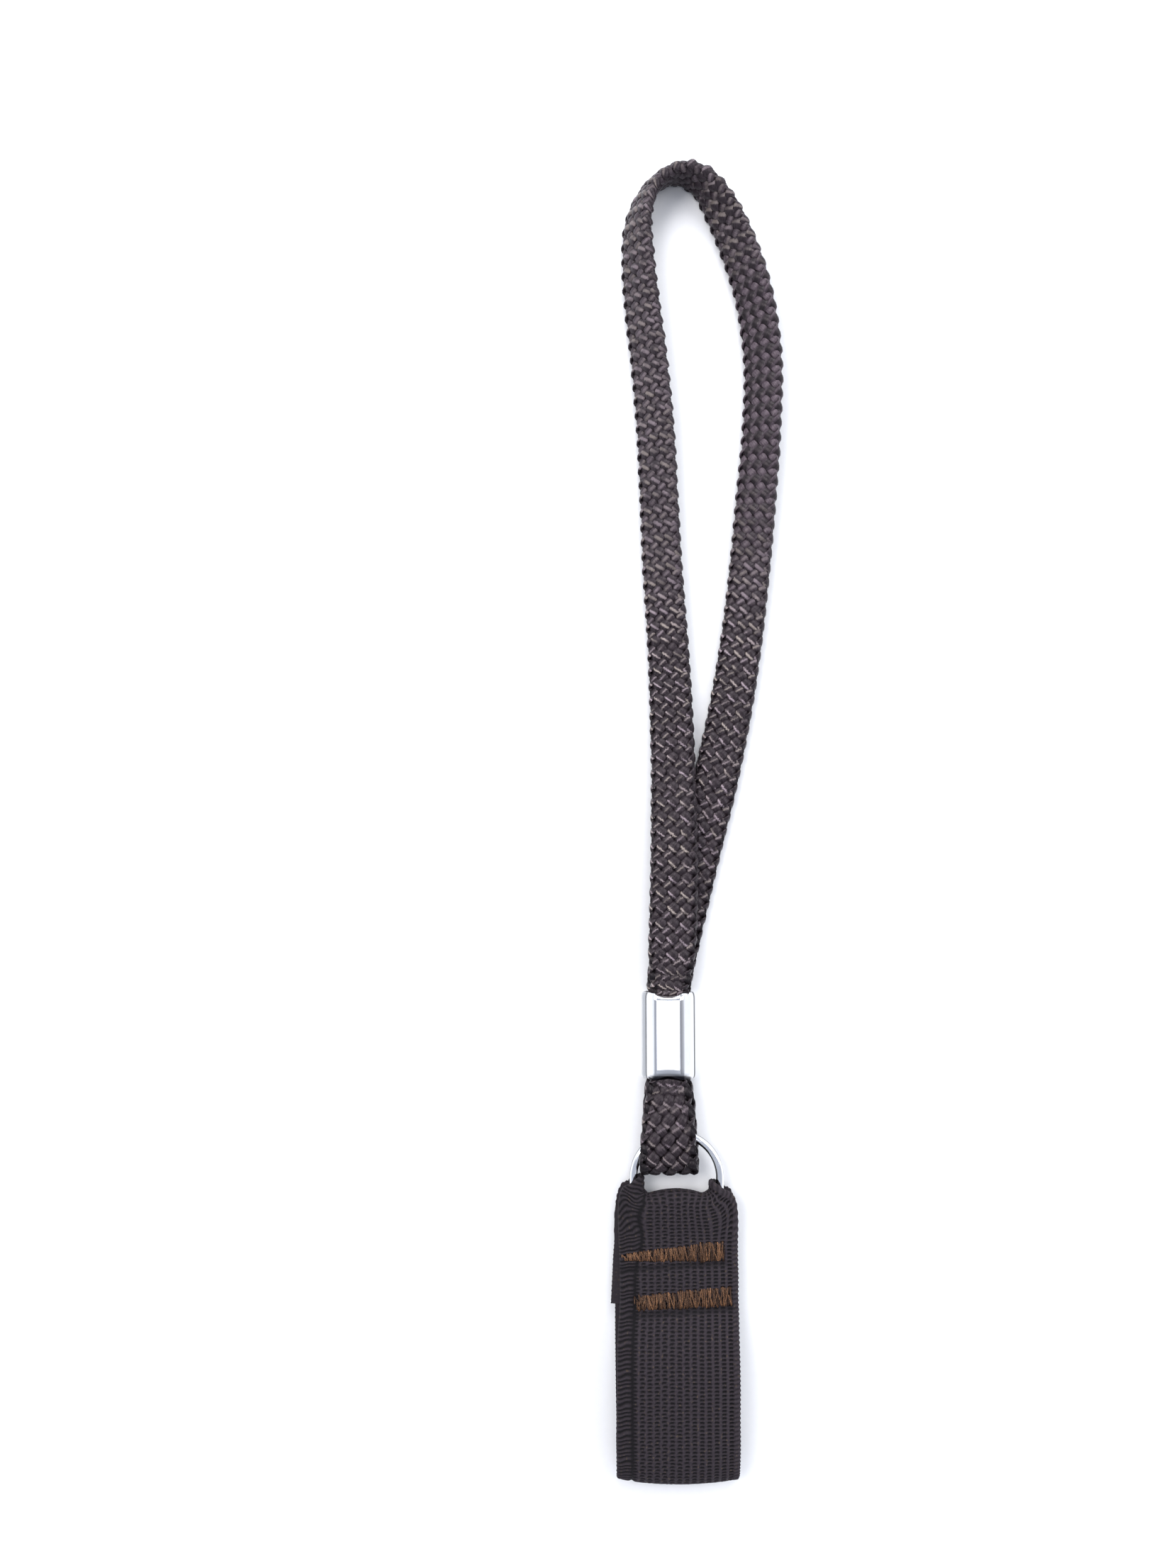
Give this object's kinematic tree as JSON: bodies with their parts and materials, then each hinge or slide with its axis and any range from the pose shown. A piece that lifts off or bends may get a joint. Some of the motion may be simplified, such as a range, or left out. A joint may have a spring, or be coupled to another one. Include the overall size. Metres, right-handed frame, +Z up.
{
  "type": "walking stick wrist strap",
  "caption": "Braided wrist loop with a chrome ferrule and D-ring on a sewn elastic loop that grips a walking stick.",
  "frame": {"origin": "on the surface the strap lies on, under the middle of its box", "axes": "+Y along the strap towards the top of the wrist loop, +Z up from the surface, +X to the right"},
  "size_m": [0.037, 0.2754, 0.0084],
  "materials": {
    "braid": "dark brown filament braid with a soft shine",
    "chrome": "bright chrome plate with fine scratches",
    "elastic": "dark brown woven elastic, dull"
  },
  "bodies": {
    "root": {"wrist_loop": "braid", "ferrule": "chrome", "d_ring": "chrome", "elastic_band": "elastic"}
  },
  "joints": []
}
